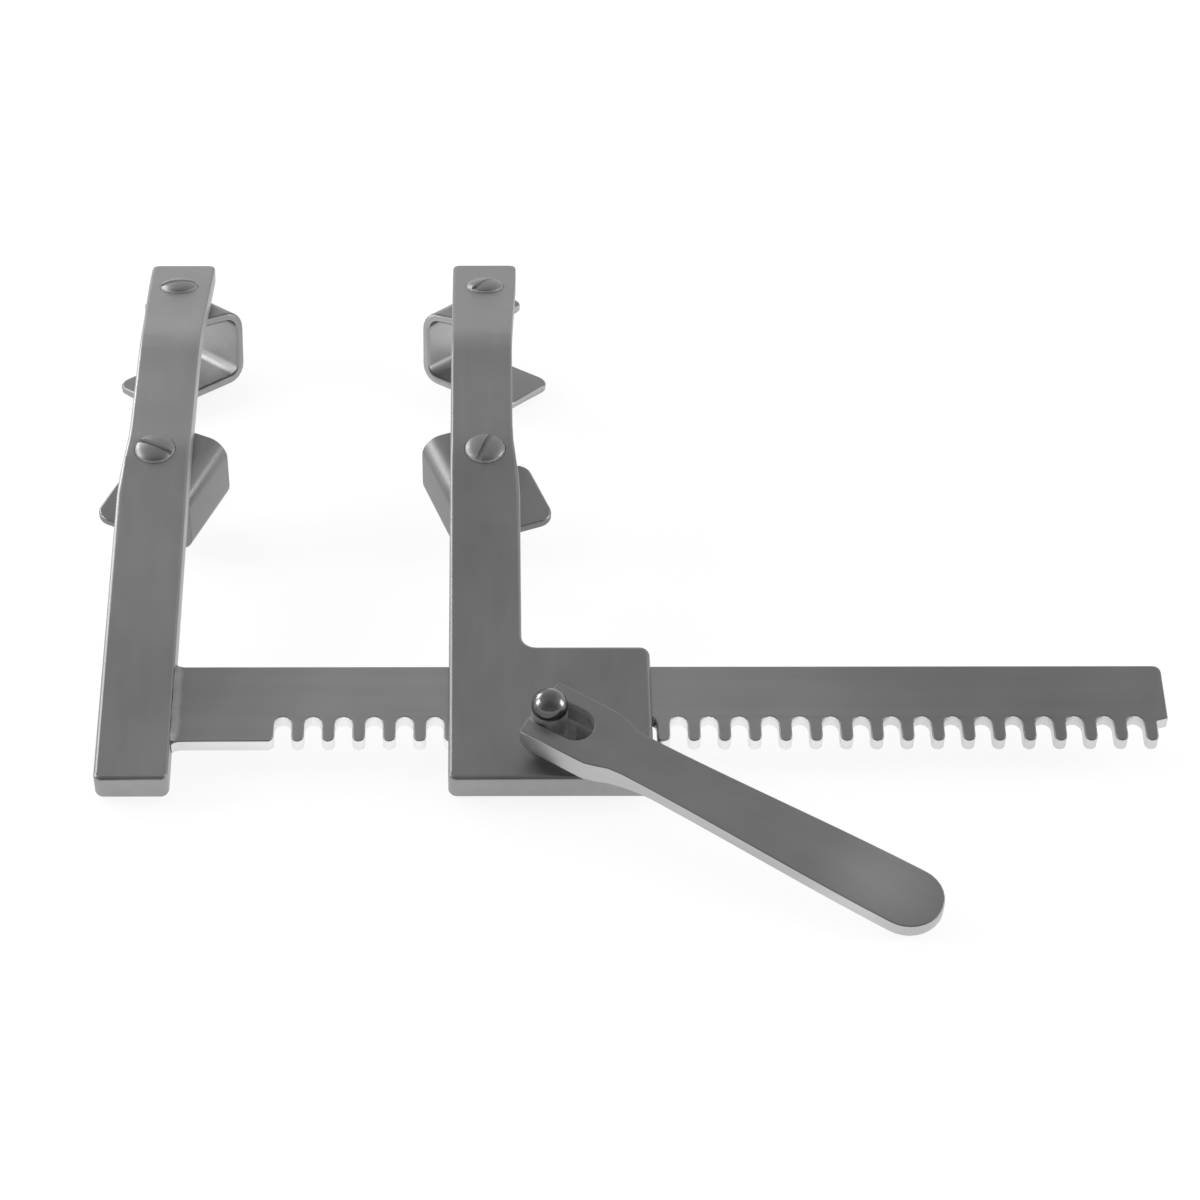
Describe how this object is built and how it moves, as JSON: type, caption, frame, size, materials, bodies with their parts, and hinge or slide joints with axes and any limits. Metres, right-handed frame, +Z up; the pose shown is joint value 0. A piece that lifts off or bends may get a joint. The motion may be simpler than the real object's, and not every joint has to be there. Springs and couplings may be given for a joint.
{
  "type": "sternal spreader",
  "caption": "Surgical chest retractor: a fixed arm with a toothed rack, a moving arm wound along it by a folding crank, and swivelling channel blades.",
  "frame": {"origin": "on the flat underside of the fixed arm, at the middle of its width and 20 mm behind its front face", "axes": "+X along the rack away from the fixed arm, +Y towards the arms' tips, +Z up from the table that the instrument rests on; the flat bases lean back about X because the blades hold the far end up"},
  "size_m": [0.2279, 0.2184, 0.0331],
  "materials": {
    "satin_steel": "satin, bead blasted",
    "rack_steel": "satin",
    "handle_steel": "satin",
    "blade_steel": "satin, bent sheet",
    "polished_steel": "polished",
    "pin_steel": "ground"
  },
  "bodies": {
    "fixed_frame": {"fixed_arm": "satin_steel", "rack_bar": "rack_steel", "fixed_near_screw": "polished_steel", "fixed_near_washer": "polished_steel", "fixed_near_nut": "polished_steel", "fixed_far_screw": "polished_steel", "fixed_far_washer": "polished_steel", "fixed_far_nut": "polished_steel"},
    "moving_arm_group": {"moving_arm": "satin_steel", "moving_near_screw": "polished_steel", "moving_near_washer": "polished_steel", "moving_near_nut": "polished_steel", "moving_far_screw": "polished_steel", "moving_far_washer": "polished_steel", "moving_far_nut": "polished_steel"},
    "crank": {"crank_post": "polished_steel", "crank_keeper": "pin_steel", "drive_pin_1": "pin_steel", "drive_pin_2": "pin_steel", "handle_hinge_pin": "pin_steel"},
    "handle": {"crank_handle": "handle_steel"},
    "fixed_near_blade_body": {"fixed_near_blade": "blade_steel"},
    "fixed_far_blade_body": {"fixed_far_blade": "blade_steel"},
    "moving_near_blade_body": {"moving_near_blade": "blade_steel"},
    "moving_far_blade_body": {"moving_far_blade": "blade_steel"}
  },
  "joints": [
    {"name": "crank_spin", "type": "hinge", "parent": "moving_arm_group", "child": "crank", "pos_m": [0.0854, -0.0085, -0.00227], "axis": [0, -0.2578, 0.9662], "range_deg": [-1080, 2880]},
    {"name": "arm_slide", "type": "slide", "parent": "fixed_frame", "child": "moving_arm_group", "axis": [1, 0, 0], "range_m": [-0.0377, 0.10054]},
    {"name": "handle_fold", "type": "hinge", "parent": "crank", "child": "handle", "pos_m": [0.0854, -0.01173, 0.00981], "axis": [-0.549, -0.8076, -0.2155], "range_deg": [0, 180]},
    {"name": "fixed_near_swivel", "type": "hinge", "parent": "fixed_frame", "child": "fixed_near_blade_body", "pos_m": [0, 0.06726, 0.01788], "axis": [0, -0.197, 0.9804], "continuous": true},
    {"name": "fixed_far_swivel", "type": "hinge", "parent": "fixed_frame", "child": "fixed_far_blade_body", "pos_m": [0, 0.13915, 0.01719], "axis": [0, 0.1987, 0.9801], "continuous": true},
    {"name": "moving_near_swivel", "type": "hinge", "parent": "moving_arm_group", "child": "moving_near_blade_body", "pos_m": [0.0723, 0.06726, 0.01788], "axis": [0, -0.197, 0.9804], "continuous": true},
    {"name": "moving_far_swivel", "type": "hinge", "parent": "moving_arm_group", "child": "moving_far_blade_body", "pos_m": [0.0723, 0.13915, 0.01719], "axis": [0, 0.1987, 0.9801], "continuous": true}
  ],
  "couplings": [
    {"joint": "arm_slide", "follows": "crank_spin", "m_per_rad": 0.002}
  ]
}
